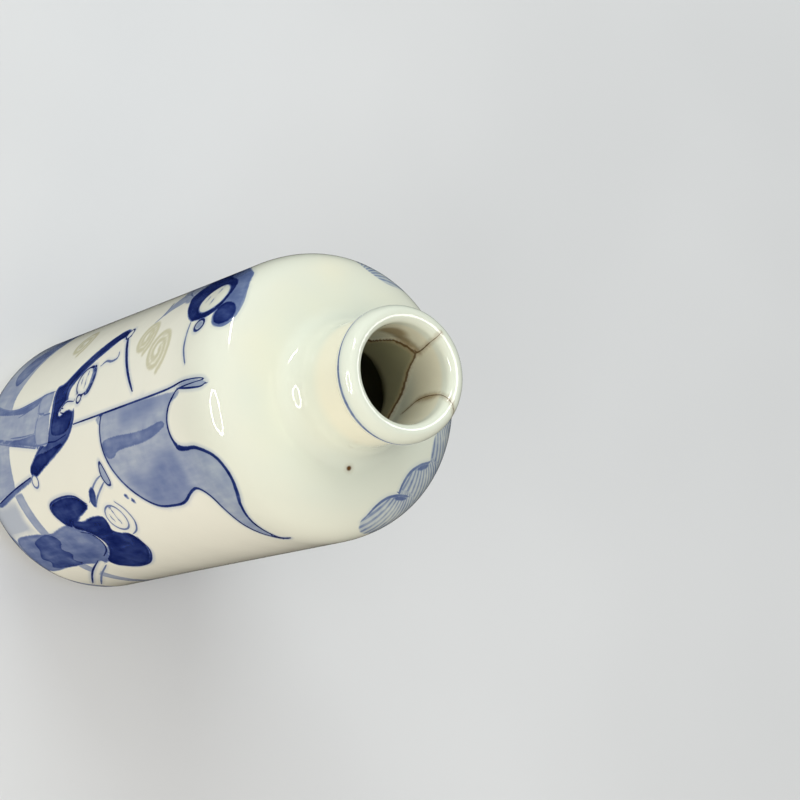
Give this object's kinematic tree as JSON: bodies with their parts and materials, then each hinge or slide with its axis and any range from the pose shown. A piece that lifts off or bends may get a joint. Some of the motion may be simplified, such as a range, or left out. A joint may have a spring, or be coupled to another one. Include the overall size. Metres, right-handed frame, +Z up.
{
  "type": "snuff bottle",
  "caption": "Slender cylindrical porcelain snuff bottle with a low domed shoulder, short neck and rolled lip, painted in underglaze blue; hollow, open at the mouth, stands on a foot ring.",
  "frame": {"origin": "on the surface the bottle stands on, at the middle of the foot ring", "axes": "+Z up along the bottle's axis to the mouth; -Y is the side of the painted figures that faces the viewer, +X to that viewer's right"},
  "size_m": [0.032, 0.032, 0.078],
  "materials": {
    "painted_porcelain": "clear glossy glaze over off-white porcelain with underglaze cobalt painting; bare biscuit on the foot ring"
  },
  "bodies": {
    "root": {"bottle": "painted_porcelain"}
  },
  "joints": []
}
